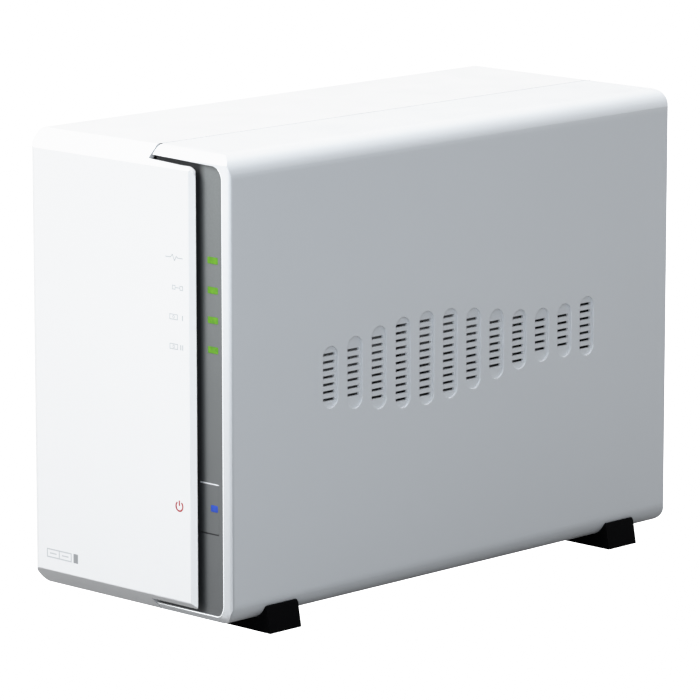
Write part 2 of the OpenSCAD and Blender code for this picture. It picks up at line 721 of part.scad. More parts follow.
module processor() color([0.14, 0.14, 0.15]) {
  box([-16, 6], [2, 24], on_board(0.8));
  box([-12, 2], [6, 20], off(board_top, 0.7, 1.6));
}
module heatsink() color([0.70, 0.72, 0.74]) difference() {
  union() {
    box([-23, 13], [-5, 31], off(board_top, 1.65, 4.2));
    for (i = [0 : 11]) box(off(-23 + i * 3.16, 0, 1.2), [-5, 31], off(board_top, 4, 15));
  }
  box([-24, 14], [11, 15], off(board_top, 6, 16));
}
module memory_chips() color(part_black) {
  for (x = [-27, -12, 3]) box([x, x + 11], [-24, -12], on_board(1.1));
  // other chips: x range, y range, height
  for (c = [[[-10, 0], [-44, -36], 1.6], [[-2, 10], [66, 78], 1.2], [[-20, -12], [72, 80], 1.0]])
    box(c[0], c[1], on_board(c[2]));
}

// Network socket: steel shield round a plastic insert that takes the plug
module lan_port() color(socket_grey) difference() {
  box(lan_x, [89, rear_out + 0.6], on_board(lan_h));
  box(grow(lan_x, -0.6), [90, rear_out + 2], off(board_top, 0.6, 12.9));
}
module lan_insert() color(jack_black) {
  difference() {
    box(grow(lan_x, -0.65), [90.1, rear_out + 0.3], off(board_top, 0.65, 12.85));
    box([-2, 10], [98, rear_out + 2], off(board_top, 2.2, 9.2));
    box([1, 7], [98, rear_out + 2], off(board_top, 9.1, 11.6));
  }
  // contacts
  for (i = [0 : 7]) box(off(i * 1.12, -0.3, 0.2), [97.9, 106], off(board_top, 2.1, 3.0));
}
module usb_ports() color(socket_grey) {
  slot_x = grow(usb_x, -0.8);
  difference() {
    box(usb_x, [93, rear_out + 0.6], on_board(usb_h));
    box(slot_x, [93.7, 97.1], off(board_top, 1.6, 14.6));
    for (z = usb_slots_z) box(slot_x, [97, rear_out + 2], [z, z + 5.4]);
  }
}
module usb_tongues() color([0.10, 0.20, 0.55]) {
  box(grow(usb_x, -0.9), [93.8, 97], off(board_top, 1.7, 14.5));
  for (z = usb_slots_z) box(grow(usb_x, -1.7), [96.9, rear_out - 0.6], off(z, 2.9, 4.8));
}
module dc_jack() color(jack_black) {
  difference() {
    box(dc_x, [95, rear_out + 0.3], on_board(dc_h));
    cyl_y(dc_axis[0], dc_axis[1], [99, rear_out + 2], 3.2);
  }
  cyl_y(dc_axis[0], dc_axis[1], [98.9, rear_out - 0.9], 1.2);
}
module reset_switch() color(part_black) difference() {
  box(span(reset_x, 6), [101, 106.6], on_board(6));
  cyl_y(reset_x, reset_z, [103, 108], 1.33);
}
module reset_button() color([0.85, 0.80, 0.70]) {
  cyl_y(reset_x, reset_z, [104, 107.6], 1.3);
  cyl_y(reset_x, reset_z, [107.5, rear_in - 0.25], 0.9);
}
module capacitors() color([0.16, 0.17, 0.22]) {
  for (p = [[16, 70], [20, 50], [-26, 68.5]]) {
    cyl_z(p[0], p[1], on_board(11), 3.9);
    cyl_z(p[0], p[1], off(board_top, 10.9, 11.4), 3.2);
  }
  for (y = [-48, -40]) cyl_z(-18, y, on_board(6), 2.5);
}
module power_coils() color([0.25, 0.25, 0.27]) for (p = [[4, 52], [-6, 50], [3, -50]])
  prism_z(on_board(4)) rounded_rect(span(p[0], 6.8), span(p[1], 6.8), 1);

cell_x = -19;
cell_y = 50;
module coin_cell() color([0.80, 0.81, 0.80]) {
  cyl_z(cell_x, cell_y, off(board_top, 1.2, 3.2), 6.2);
  cyl_z(cell_x, cell_y, off(board_top, 3.1, 3.5), 5.6);
}
module cell_holder() color(part_black) difference() {
  prism_z(on_board(3.0)) rounded_rect(span(cell_x, 15.2), span(cell_y, 15.2), 2);
  cyl_z(cell_x, cell_y, off(board_top, 1.15, 5), 6.3);
}

module board_header(x, y, h, side_t) difference() {
  box(x, y, on_board(h));
  box(grow(x, -side_t), grow(y, -1), off(board_top, 1, h + 1));
}
// Plug-in headers for the fan's cable and for both ends of the front board's cable
module cable_headers() color([0.90, 0.88, 0.82]) {
  board_header([17, 24.6], [89, 94], 5, 1);
  board_header([10, 17], [-54, -42], 4, 1.6);
  difference() {
    box([31, 40], [front_board_y[1] + board_gap, -90.5], [31, 34]);
    box([32, 39], [-93, -90], [30, 33.3]);
  }
}

// ---- Fan ----

module fan_frame() color(frame_black) {
  flange_t = 4;
  difference() {
    union() {
      difference() {
        prism_y([fan_front, fan_back])
          rounded_rect(span(0, fan_w), span(fan_z, fan_w), 4);
        fan_cyl([fan_front - 1, fan_back + 1], fan_half - 2);
        // waist between the two flanges
        difference() {
          prism_y([fan_front + flange_t, fan_back - flange_t])
            rounded_rect(span(0, fan_w + 2), span(fan_z, fan_w + 2), 4);
          fan_cyl([fan_front, fan_back], fan_half - 0.4);
        }
      }
      // hub, its arms and the bearing tube
      fan_cyl([fan_back - 4, fan_back], 17);
      for (a = [20, 110, 200, 290]) on_fan_axis(a)
        box([15, fan_half - 1.6], off(fan_back, -4, -0.6), [-1.6, 1.6]);
      fan_cyl([91, fan_back - 3], 4.9);
    }
    fan_cyl([90, fan_back - 2], 3.4);
    for (x = fan_hole_x, z = fan_hole_z) cyl_y(x, z, [fan_front - 1, fan_back + 1], 2.15);
  }
}

// Arc-section blade set across the air stream, on an axis at the origin
module blade() intersection() {
  prism_x([16.8, 46]) intersection() {
    translate([fan_front + 33, -15.7]) difference() {
      circle(r = 30.7);
      circle(r = 29.2);
    }
    translate([fan_front + 2.6, -11.5]) square([17.2, 23]);
  }
  cyl_y(0, 0, [fan_front, fan_back], fan_half - 3.1);
}
// Rotor: a cup over the stator, with blades round it and a collar for the shaft
module fan_rotor() color([0.13, 0.13, 0.14]) {
  difference() {
    union() {
      fan_cyl([fan_front + 1.5, fan_back - 4.6], 17.4);
      for (i = [0 : blade_n - 1]) on_fan_axis(i * 360 / blade_n) blade();
    }
    fan_cyl([fan_front + 3.5, fan_back], 15.8);
    fan_cyl([fan_front + 2.4, fan_back], 1.5);
  }
  difference() {
    fan_cyl(off(fan_front, 3.4, 6), 3.5);
    fan_cyl(off(fan_front, 2, 7), 1.5);
  }
}
module fan_shaft() color([0.80, 0.81, 0.83]) fan_cyl([fan_front + 2.45, fan_back - 2.6], 1.49);
module fan_bearing() color([0.72, 0.58, 0.30]) difference() {
  fan_cyl([91, fan_back - 2.05], 3.38);
  fan_cyl([90, fan_back - 2.4], 1.53);
}
module fan_stator() color([0.70, 0.40, 0.20]) difference() {
  union() {
    fan_cyl([92.5, 103], 8);
    for (a = [0, 90, 180, 270]) on_fan_axis(a) {
      box([7, 12.5], [94, 101.5], [-3, 3]);
      intersection() {
        box([11.5, 16], [93.5, 102], [-8, 8]);
        cyl_y(0, 0, [93, 103], 14.6);
      }
    }
  }
  fan_cyl([92, 104], 4.95);
}
module fan_screws() color([0.20, 0.20, 0.21]) for (x = fan_hole_x, z = fan_hole_z)
  screw_y([x, rear_out + fit, z], length = 11, r = 2.1, head_r = 3.6, head_h = 1.75);

// ---- Cables ----

// Rods laid along the axes, with slightly fuller balls at the bends
module fan_cable() color(jack_black) {
  wire_r = 1.2;
  x = [20.8, 30];
  y = [91.5, 98];
  z = 27;
  cyl_z(x[1], y[1], [z, fan_z - fan_half - 0.1], wire_r);
  cyl_y(x[1], z, y, wire_r);
  cyl_x(y[0], z, x, wire_r);
  cyl_z(x[0], y[0], [board_top + 1.6, z], wire_r);
  for (p = [[x[1], y[1]], [x[1], y[0]], [x[0], y[0]]]) translate([p[0], p[1], z])
    sphere(r = 1.32);
}
// Flat ribbon folded down from the front board, back, across and down to the mainboard
module front_cable() color([0.75, 0.76, 0.76]) {
  flat_z = [23.4, 24.01];
  box([32.5, 38.5], [-92.6, -92.0], [24, 33.0]);
  box([32.5, 38.5], [-92.6, -43], flat_z);
  box([13, 38.5], [-52, -43], flat_z);
  box([13, 13.6], [-52, -43.9], [board_top + 1.4, 24]);
}

main_shell();
cover_shell();
rear_panel();
port_plate();
front_bezel();
light_windows();
light_pipe();
led_chips();
power_button();
power_button_lens();
power_switch();
power_switch_stem();
front_board();
front_board_screws();
bezel_screws();
right_feet();
left_feet();
right_foot_pads();
left_foot_pads();
drive_cage();
cage_screws();
drive_1_base();
drive_1_lid();
drive_1_board();
drive_2_base();
drive_2_lid();
drive_2_board();
drive_screws();
backplane_board();
sata_connectors();
board_slot();
backplane_screws();
mainboard();
mainboard_screws();
processor();
heatsink();
memory_chips();
lan_port();
lan_insert();
usb_ports();
usb_tongues();
dc_jack();
reset_switch();
reset_button();
capacitors();
power_coils();
coin_cell();
cell_holder();
cable_headers();
fan_frame();
fan_rotor();
fan_shaft();
fan_bearing();
fan_stator();
fan_screws();
fan_cable();
front_cable();
cover_screws();
rear_panel_screws();
lock_plate();
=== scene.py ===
"""A two-bay network storage box, built on its CAD pieces.

It stands upright on the floor with +Z up. The front looks towards -Y, the main shell's
side wall is at +X and the cover's at -X. Lengths are metres in Blender and in the
materials; the sizes of edges, marks and trims are millimetres.
"""
import math
import json

import bpy
import bmesh
from mathutils import Vector, Matrix


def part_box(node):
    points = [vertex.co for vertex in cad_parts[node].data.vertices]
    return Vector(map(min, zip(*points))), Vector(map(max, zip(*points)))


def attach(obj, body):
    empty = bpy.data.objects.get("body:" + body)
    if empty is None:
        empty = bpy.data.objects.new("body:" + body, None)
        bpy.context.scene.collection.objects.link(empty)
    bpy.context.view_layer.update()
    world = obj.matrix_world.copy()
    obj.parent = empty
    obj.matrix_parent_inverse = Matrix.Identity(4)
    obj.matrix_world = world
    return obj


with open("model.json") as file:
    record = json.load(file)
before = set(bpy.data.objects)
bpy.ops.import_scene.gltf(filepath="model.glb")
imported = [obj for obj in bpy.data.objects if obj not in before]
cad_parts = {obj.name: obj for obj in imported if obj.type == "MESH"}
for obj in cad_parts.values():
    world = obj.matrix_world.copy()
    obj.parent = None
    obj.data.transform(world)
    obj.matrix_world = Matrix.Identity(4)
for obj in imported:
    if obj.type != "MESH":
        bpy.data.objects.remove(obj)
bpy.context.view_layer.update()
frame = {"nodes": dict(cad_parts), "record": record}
NODES = frame["nodes"]
SLOT = {part["node"]: part["material_slot"] for part in frame["record"]["subparts"]}
MM = 0.001


# ---------------------------------------------------------------- shader building
class Graph:
    """Node tree of a material or world; a node's input takes a value or a socket to link."""

    def __init__(self, owner, output="OutputMaterial"):
        owner.use_nodes = True
        self.owner = owner
        self.tree = owner.node_tree
        self.tree.nodes.clear()
        self.output = self.node(output)

    def put(self, socket, value):
        if isinstance(value, bpy.types.NodeSocket):
            self.tree.links.new(value, socket)
        elif socket.type == "RGBA":
            socket.default_value = (*value, 1)
        else:
            socket.default_value = value

    def node(self, kind, inputs=None, **settings):
        made = self.tree.nodes.new("ShaderNode" + kind)
        for key, value in settings.items():
            setattr(made, key, value)
        for key, value in (inputs or {}).items():
            self.put(made.inputs[key], value)
        return made

    def math(self, operation, first, second):
        return self.node("Math", {0: first, 1: second}, operation=operation).outputs[0]


class Surface(Graph):
    """Principled material textured in object coordinates, with a base colour to tint."""

    def __init__(self, name, base):
        super().__init__(bpy.data.materials.new(name))
        self.base = base
        self.bsdf = self.node("BsdfPrincipled")
        self.put(self.output.inputs[0], self.bsdf.outputs[0])
        self.coords = self.node("TexCoord").outputs["Object"]

    def set(self, values):
        for key, value in values.items():
            self.put(self.bsdf.inputs[key], value)

    def axes(self, vector):
        return self.node("SeparateXYZ", {0: vector}).outputs

    def noise(self, scale, detail=2.0, rough=0.5, stretch=None):
        vector = self.coords
        if stretch:
            vector = self.node("Mapping", {"Vector": vector, "Scale": stretch}).outputs[0]
        inputs = {"Vector": vector, "Scale": scale, "Detail": detail, "Roughness": rough}
        return self.node("TexNoise", inputs).outputs["Fac"]

    def voronoi(self, scale, inputs=None, **settings):
        inputs = {"Vector": self.coords, "Scale": scale, **(inputs or {})}
        return self.node("TexVoronoi", inputs, **settings).outputs

    def remap(self, value, to=(0, 1), span=(0.3, 0.7)):
        """Maps the values across span onto the values across to."""
        return self.node("MapRange", {
            "Value": value, "From Min": span[0], "From Max": span[1],
            "To Min": to[0], "To Max": to[1],
        }).outputs["Result"]

    def mix(self, factor, first, second):
        # sockets 0, 6 and 7 are the float factor and the two colours; output 2 is the colour
        return self.node("Mix", {0: factor, 6: first, 7: second}, data_type="RGBA").outputs[2]

    def tint(self, factor, colour):
        """Lays a colour over the base colour where factor nears 1."""
        self.base = self.mix(factor, self.base, colour)
        self.set({"Base Color": self.base})

    def relief(self, height, depth):
        bump = self.node("Bump", {"Distance": depth, "Height": height})
        self.set({"Normal": bump.outputs[0]})


def scaled(colour, factor):
    return tuple(min(1.0, channel * factor) for channel in colour)


# ---------------------------------------------------------------- materials
def plastic(name, colour, rough=0.4, drift=0.03, grain=2600, depth=0.000012, spec=0.5, coat=0.0):
    """Moulded plastic: broad tone drift, fine spark-eroded grain, mottled gloss."""
    s = Surface(name, scaled(colour, 1 - drift))
    s.tint(s.remap(s.noise(scale=9, detail=3)), scaled(colour, 1 + drift))
    s.tint(s.remap(s.noise(scale=900), to=(0, 0.25)), scaled(colour, 1 - drift * 1.5))
    s.set({
        "Roughness": s.remap(s.noise(scale=60, detail=4), to=(rough - 0.05, rough + 0.06)),
        "Specular IOR Level": spec,
        "Coat Weight": coat,
        "Coat Roughness": 0.12,
    })
    s.relief(s.noise(scale=grain, rough=0.6), depth)
    return s


def paint_floor_shade(s, colour, low):
    """Paints shade into the colour towards the floor, darkening it down to the factor low."""
    height = s.axes(s.coords)["Z"]
    s.tint(s.remap(height, to=(1, 0), span=(0.0, 0.11)), scaled(colour, low))


def shell_white():
    """Main shell with painted shade towards the floor; its narrow front rim has more painted shade
    towards the foot, but for its rounded inner edges.
    """
    colour = (0.80, 0.812, 0.825)
    s = plastic("shell_white", colour, rough=0.42, drift=0.012, grain=2300, depth=0.000009,
                spec=0.35)
    # painted shade towards the floor
    paint_floor_shade(s, colour, low=0.93)
    place = s.axes(s.coords)
    normal = s.axes(s.node("TexCoord").outputs["Normal"])
    facing = s.remap(normal["Y"], to=(1, 0), span=(-0.995, -0.93))
    facing = s.math("MULTIPLY", facing, 1.0)
    outer = s.math("MAXIMUM", facing, s.remap(place["X"], span=(0.0446, 0.0456)))
    front = s.remap(place["Y"], to=(1, 0), span=(-0.1096, -0.1080))
    foot = s.remap(place["Z"], to=(0.62, 0.02), span=(0.02, 0.15))
    # painted shade on the rim's front face, darker towards the foot, leaving its rounded edges
    # bright
    s.tint(s.math("MULTIPLY", s.math("MULTIPLY", outer, front), foot), scaled(colour, 0.6))
    return s


def cover_white():
    colour = (0.85, 0.852, 0.857)
    s = plastic("cover_white", colour, rough=0.38, drift=0.010, grain=2300, depth=0.000006,
                spec=0.35)
    # painted shade towards the floor
    paint_floor_shade(s, colour, low=0.94)
    return s


def strip_grey():
    """Satin grey strip: painted shade darkens it towards its foot, and a painted shadow of the
    panel darkens its -X edge.
    """
    s = Surface("strip_grey", (0.125, 0.130, 0.132))
    place = s.axes(s.coords)
    # painted shade: the strip darker towards its foot
    s.tint(s.remap(place["Z"], span=(0.01, 0.16)), (0.258, 0.272, 0.271))
    s.tint(s.remap(s.noise(scale=1200), to=(0, 0.2)), (0.17, 0.175, 0.178))
    # painted shadow of the panel along the strip's -X edge
    s.tint(s.remap(place["X"], to=(1, 0), span=(0.0318, 0.0348)), (0.035, 0.036, 0.038))
    s.set({"Roughness": s.remap(s.noise(scale=70, detail=3), to=(0.36, 0.48))})
    s.relief(s.noise(scale=2600, rough=0.6), depth=0.00001)
    return s


def metal(name, colour, rough=0.35, drift=0.06, stretch=None, scale=400, depth=0.00001,
          spangle=False, metallic=1.0):
    """Metal whose noise, stretched for brushing, drives tone, gloss and relief."""
    s = Surface(name, scaled(colour, 1 - drift))
    streaks = s.noise(scale, detail=4, rough=0.6, stretch=stretch)
    s.tint(s.remap(streaks), scaled(colour, 1 + drift))
    if spangle:
        grey = s.node("RGBToBW", {0: s.voronoi(scale=140)["Color"]}).outputs[0]
        s.tint(s.remap(grey, to=(0, 0.5), span=(0, 1)), scaled(colour, 0.72))
    s.set({
        "Metallic": metallic,
        "Roughness": s.remap(streaks, to=(rough - 0.08, rough + 0.1)),
    })
    s.relief(streaks, depth)
    return s


def board_green():
    """Circuit board: solder mask over traces laid as stepped cells, with vias."""
    s = Surface("board_green", (0.015, 0.13, 0.06))
    cells = s.voronoi(scale=260, distance="CHEBYCHEV")["Distance"]
    traces = s.remap(s.math("PINGPONG", cells, 0.09), span=(0.04, 0.06))
    s.tint(traces, (0.0385, 0.257, 0.124))
    dots = s.voronoi(scale=330, inputs={"Randomness": 0.8})["Distance"]
    s.tint(s.remap(dots, to=(1, 0), span=(0.10, 0.14)), (0.62, 0.50, 0.25))
    s.set({"Roughness": s.remap(s.noise(scale=80, detail=3), to=(0.25, 0.4))})
    s.relief(traces, depth=0.00002)
    return s


def lit(name, colour, glow):
    """Lit diffuser: mottled glow with a moulded skin over it."""
    s = Surface(name, colour)
    s.set({
        "Base Color": colour,
        "Emission Color": s.mix(s.remap(s.noise(scale=700)), scaled(colour, 0.85), glow),
        "Emission Strength": 0.36,
        "Roughness": s.remap(s.noise(scale=200), to=(0.25, 0.4)),
    })
    s.relief(s.noise(scale=1800), depth=0.000006)
    return s


def pipe_clear():
    s = Surface("pipe_clear", (0.86, 0.92, 0.94))
    s.tint(s.remap(s.noise(scale=90)), (0.95, 0.98, 1.0))
    s.set({
        "Transmission Weight": 0.9,
        "IOR": 1.49,
        "Roughness": s.remap(s.noise(scale=150), to=(0.05, 0.16)),
    })
    s.relief(s.noise(scale=500), depth=0.000008)
    return s


SURFACES = {
    "white_shell": shell_white(),
    "white_cover": cover_white(),
    "rear_steel": plastic("rear_paint", (0.62, 0.63, 0.645), rough=0.45, grain=1500,
                          depth=0.00002),
    "grey_strip": strip_grey(),
    "green_light": lit("light_green", (0.09, 0.26, 0.02), glow=(0.24, 0.50, 0.02)),
    "blue_light": lit("light_blue", (0.02, 0.06, 0.36), glow=(0.05, 0.12, 0.62)),
    "clear_pipe": pipe_clear(),
    "led_resin": plastic("chip_resin", (0.75, 0.74, 0.60), rough=0.3, drift=0.08, grain=1200,
                         depth=0.00001, coat=0.4),
    "black_plastic": plastic("plastic_black", (0.018, 0.018, 0.020), rough=0.45, drift=0.15,
                             grain=1900, depth=0.00002),
    "ivory_plastic": plastic("plastic_ivory", (0.66, 0.60, 0.46), rough=0.45, drift=0.05,
                             grain=1900, depth=0.00001),
    "circuit_board": board_green(),
    "zinc_steel": metal("screw_zinc", (0.66, 0.67, 0.69), rough=0.28, drift=0.08, scale=900),
    "black_foot": plastic("foot_black", (0.0018, 0.0018, 0.0022), rough=0.5, drift=0.2,
                          grain=1700, depth=0.00001, spec=0.04),
    "black_rubber": plastic("rubber_black", (0.010, 0.010, 0.010), rough=0.8, drift=0.2,
                            grain=1300, depth=0.00003, spec=0.3),
    "cage_steel": metal("steel_galvanised", (0.60, 0.61, 0.63), rough=0.36, scale=120,
                        depth=0.000008, spangle=True),
    "cast_aluminium": metal("aluminium_cast", (0.42, 0.44, 0.46), rough=0.5, drift=0.08,
                            scale=1400, depth=0.00004),
    "lid_steel": metal("steel_brushed", (0.62, 0.63, 0.65), rough=0.3, drift=0.05,
                       stretch=(1, 0.04, 1), scale=2400),
    "heatsink_aluminium": metal("aluminium_fins", (0.55, 0.57, 0.60), drift=0.05,
                                stretch=(1, 0.05, 1), scale=1800),
    "socket_steel": metal("steel_tinned", (0.64, 0.65, 0.66), rough=0.25, drift=0.05,
                          stretch=(1, 0.1, 1), scale=900, depth=0.000006),
    "blue_plastic": plastic("plastic_blue", (0.02, 0.09, 0.42), rough=0.35, drift=0.06,
                            grain=1900, depth=0.00001),
    "capacitor_can": metal("can_sleeved", (0.10, 0.11, 0.16), drift=0.1,
                           stretch=(1, 1, 0.05), scale=900, metallic=0.4),
    "coil_ferrite": plastic("ferrite_grey", (0.06, 0.06, 0.065), rough=0.6, drift=0.12,
                            grain=1200, depth=0.00004),
    "cell_steel": metal("cell_polished", (0.70, 0.71, 0.72), rough=0.2, drift=0.05, scale=700),
    "fan_plastic": plastic("fan_black", (0.012, 0.012, 0.014), rough=0.38, drift=0.12,
                           grain=1900, depth=0.00001),
    "bearing_bronze": metal("bronze_sintered", (0.50, 0.34, 0.14), rough=0.45, drift=0.1,
                            scale=1500, depth=0.00003),
    "copper_winding": metal("wire_copper", (0.55, 0.22, 0.08), drift=0.15,
                            stretch=(1, 0.1, 1), scale=2600, depth=0.00006),
    "black_steel": plastic("steel_black", (0.02, 0.02, 0.022), rough=0.3, drift=0.15,
                           grain=1500, depth=0.00001),
    "cable_black": plastic("insulation_black", (0.015, 0.015, 0.017), rough=0.5, drift=0.15,
                           grain=900, depth=0.00002),
    "cable_grey": plastic("insulation_grey", (0.40, 0.41, 0.42), rough=0.5, drift=0.06,
                          grain=900, depth=0.00002),
}


# ---------------------------------------------------------------- edges of the CAD pieces
# node: (bevel width in mm, segments)
BEVEL = {
    "main_shell": (0.42, 3), "cover_shell": (0.25, 3), "rear_panel": (0.15, 2),
    "front_bezel": (0.12, 2), "power_button": (0.12, 2), "right_feet": (0.12, 2),
    "left_feet": (0.12, 2), "right_foot_pads": (0.2, 2), "left_foot_pads": (0.2, 2),
    "drive_cage": (0.15, 2), "fan_frame": (0.3, 2), "fan_rotor": (0.25, 2),
    "drive_1_base": (0.4, 2), "drive_2_base": (0.4, 2), "heatsink": (0.12, 1),
    "light_windows": (0.1, 2), "power_button_lens": (0.1, 2), "lan_insert": (0.06, 1),
    "fan_shaft": (0.3, 2), "processor": (0.1, 1), "drive_screws": (0.08, 1),
    "port_plate": (0.08, 1), "mainboard": (0.08, 1), "memory_chips": (0.08, 1),
}
DEFAULT_BEVEL = (0.1, 1)

# box in mm round the main shell's vertices at the edge of the strip's opening
RIM_LOW = (10.7, -110.5, 7.1)
RIM_HIGH = (44.02, -108.7, 160.3)
RIM_BEVEL = (0.5, 3)

# node: X in mm of the side wall that holds vent recesses
VENT_WALLS = {"main_shell": 48.0, "cover_shell": -48.0}
VENT_BEVEL = (0.55, 3)
# where the recesses lie on the wall, in metres
VENT_HALF_LENGTH = 0.075
VENT_Z = (0.060, 0.108)
WALL_TOLERANCE = 0.00002


def in_rim(point, unit):
    return all(low * unit < value < high * unit
               for low, value, high in zip(RIM_LOW, point, RIM_HIGH))


def on_vent_wall(point, wall_x):
    return (abs(point.x - wall_x * MM) < WALL_TOLERANCE
            and abs(point.y) < VENT_HALF_LENGTH and VENT_Z[0] < point.z < VENT_Z[1])


def mark_vents(mesh, wall_x):
    """Weights the recesses' outer edges, where the side face meets a recess wall.

    Faces may not share vertices, so edges are matched by their ends' Y and Z.
    """
    near = {v.index for v in mesh.vertices if on_vent_wall(v.co, wall_x)}

    def place(*ends):
        points = [mesh.vertices[i].co for i in ends]
        return frozenset((round(point.y, 5), round(point.z, 5)) for point in points)

    facings = {}
    for face in mesh.polygons:
        ring = list(face.vertices)
        for start, end in zip(ring, ring[1:] + ring[:1]):
            if start in near and end in near:
                sideways = abs(face.normal.x) > 0.9
                facings.setdefault(place(start, end), set()).add(sideways)
    weights = mesh.attributes.new("bevel_weight_edge", "FLOAT", "EDGE")
    for edge in mesh.edges:
        start, end = edge.vertices
        if start in near and end in near and len(facings.get(place(start, end), ())) == 2:
            weights.data[edge.index].value = 1.0


def add_bevel(obj, name, size, limit):
    bevel = obj.modifiers.new(name, "BEVEL")
    bevel.width = size[0] * MM
    bevel.segments = size[1]
    bevel.limit_method = limit
    bevel.use_clamp_overlap = True
    return bevel


def polish(node, obj):
    """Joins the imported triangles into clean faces, rounds the edges and evens the normals."""
    for face in obj.data.polygons:
        face.use_smooth = True
    weld = obj.modifiers.new("weld", "WELD")
    weld.merge_threshold = 2e-6
    planar = obj.modifiers.new("planar", "DECIMATE")
    planar.decimate_type = "DISSOLVE"
    planar.angle_limit = math.radians(0.6)
    if node == "main_shell":
        group = obj.vertex_groups.new(name="rim")
        group.add([v.index for v in obj.data.vertices if in_rim(v.co, MM)], 1.0, "REPLACE")
        add_bevel(obj, "rim", RIM_BEVEL, "VGROUP").vertex_group = "rim"
    if node in VENT_WALLS:
        mark_vents(obj.data, VENT_WALLS[node])
        add_bevel(obj, "vents", VENT_BEVEL, "WEIGHT")
    edge = add_bevel(obj, "edge", BEVEL.get(node, DEFAULT_BEVEL), "ANGLE")
    edge.angle_limit = math.radians(32)
    edge.harden_normals = False
    normals = obj.modifiers.new("normals", "WEIGHTED_NORMAL")
    normals.keep_sharp = True
    normals.weight = 60


for node, obj in NODES.items():
    obj.data.materials.clear()
    obj.data.materials.append(SURFACES[SLOT[node]].owner)
    polish(node, obj)


# ---------------------------------------------------------------- mesh helpers
def add_mesh(name, bm, graph):
    mesh = bpy.data.meshes.new(name)
    bm.to_mesh(mesh)
    bm.free()
    obj = bpy.data.objects.new(name, mesh)
    bpy.context.scene.collection.objects.link(obj)
    mesh.materials.append(graph.owner)
    return obj


def loft(name, rings, surface, smooth=False):
    """Closed skin through rings of points in metres, riding on the chassis."""
    bm = bmesh.new()
    rings = [[bm.verts.new(point) for point in ring] for ring in rings]
    count = len(rings[0])
    for ring, after in zip(rings, rings[1:]):
        for i in range(count):
            j = (i + 1) % count
            bm.faces.new((ring[i], ring[j], after[j], after[i])).smooth = smooth
    bm.faces.new(rings[0])
    bm.faces.new(list(reversed(rings[-1])))
    bmesh.ops.recalc_face_normals(bm, faces=bm.faces)
    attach(add_mesh(name, bm, surface), "chassis")


# ---------------------------------------------------------------- printed marks
INK_PROUD = 0.03
INK_SUNK = 0.01
FRONT_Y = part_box("cover_shell")[0].y / MM
COVER_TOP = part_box("cover_shell")[1].z / MM


def print_mark(name, outlines, ink):
    """Outlines in X and Z (mm) as thin ink on the cover's front face."""
    bm = bmesh.new()
    for outline in outlines:
        front, back = ([bm.verts.new((x * MM, y * MM, z * MM)) for x, z in outline]
                       for y in (FRONT_Y - INK_PROUD, FRONT_Y + INK_SUNK))
        bm.faces.new(front)
        bm.faces.new(list(reversed(back)))
        for i in range(len(outline)):
            j = (i + 1) % len(outline)
            bm.faces.new((front[i], back[i], back[j], front[j]))
    bmesh.ops.recalc_face_normals(bm, faces=bm.faces)
    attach(add_mesh(name, bm, ink), "cover")


def rect(x0, x1, z0, z1):
    return [(x0, z0), (x1, z0), (x1, z1), (x0, z1)]


def box_outline(x0, x1, z0, z1, line):
    return [
        rect(x0, x1, z0, z0 + line),
        rect(x0, x1, z1 - line, z1),
        rect(x0, x0 + line, z0 + line, z1 - line),
        rect(x1 - line, x1, z0 + line, z1 - line),
    ]


def arc(x, z, inner, line, start, end, steps):
    """Ring segment from start to end in degrees, as steps quads."""
    def at(radius, i):
        angle = math.radians(start + (end - start) * i / steps)
        return (x + radius * math.cos(angle), z + radius * math.sin(angle))

    outer = inner + line
    return [[at(inner, i), at(outer, i), at(outer, i + 1), at(inner, i + 1)]
            for i in range(steps)]


def stroke(points, line):
    quads = []
    for (x0, z0), (x1, z1) in zip(points, points[1:]):
        dx, dz = x1 - x0, z1 - z0
        length = math.hypot(dx, dz)
        ox, oz = -dz / length * line / 2, dx / length * line / 2
        quads.append([(x0 + ox, z0 + oz), (x0 - ox, z0 - oz),
                      (x1 - ox, z1 - oz), (x1 + ox, z1 + oz)])
    return quads


ink_grey, ink_dark, ink_red = (
    plastic(name, colour, rough=0.6, drift=0.05, grain=1500, depth=0.000004)
    for name, colour in (("ink_grey", (0.56, 0.57, 0.58)), ("ink_dark", (0.33, 0.34, 0.35)),
                         ("ink_red", (0.42, 0.025, 0.03))))

# four marks beside the light windows, flush at their +X end
MARK_RIGHT = 28.4
MARK_LINE = 0.32
LIGHT_INSET = 1.2
lights_low, lights_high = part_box("light_windows")
lowest_light = lights_low.z / MM + LIGHT_INSET
highest_light = lights_high.z / MM - LIGHT_INSET
light_z = [highest_light - (highest_light - lowest_light) * i / 3 for i in range(4)]

# pulse line: X from the marks' right end, Z from the light's centre
PULSE = [(-8.4, 0), (-5.9, 0), (-5.0, 1.05), (-4.0, -1.05), (-3.1, 0.5), (-2.5, 0), (0, 0)]
print_mark("mark_status", stroke([(MARK_RIGHT + x, light_z[0] + z) for x, z in PULSE],
                                 MARK_LINE), ink_grey)


def network_mark(right, z):
    """Two small square outlines joined by a line."""
    side, gap = 1.6, 2.0
    half, half_line = side / 2, MARK_LINE / 2
    left = right - 2 * side - gap
    return (box_outline(left, left + side, z - half, z + half, MARK_LINE)
            + [rect(left + side, right - side, z - half_line, z + half_line)]
            + box_outline(right - side, right, z - half, z + half, MARK_LINE))


def bay_mark(right, z, count):
    """Drive outline with a ring in it, then count upright bars."""
    marks = box_outline(right - 6.6, right - 2.6, z - 1.0, z + 1.0, line=0.3)
    marks += arc(right - 4.6, z, inner=0.32, line=0.26, start=0, end=360, steps=12)
    for j in range(count):
        bar_right = right - 0.05 - j * 0.95
        marks.append(rect(bar_right - 0.45, bar_right, z - 0.9, z + 0.9))
    return marks


print_mark("mark_network", network_mark(MARK_RIGHT, light_z[1]), ink_grey)
print_mark("mark_bay_one", bay_mark(MARK_RIGHT, light_z[2], count=1), ink_grey)
print_mark("mark_bay_two", bay_mark(MARK_RIGHT, light_z[3], count=2), ink_grey)

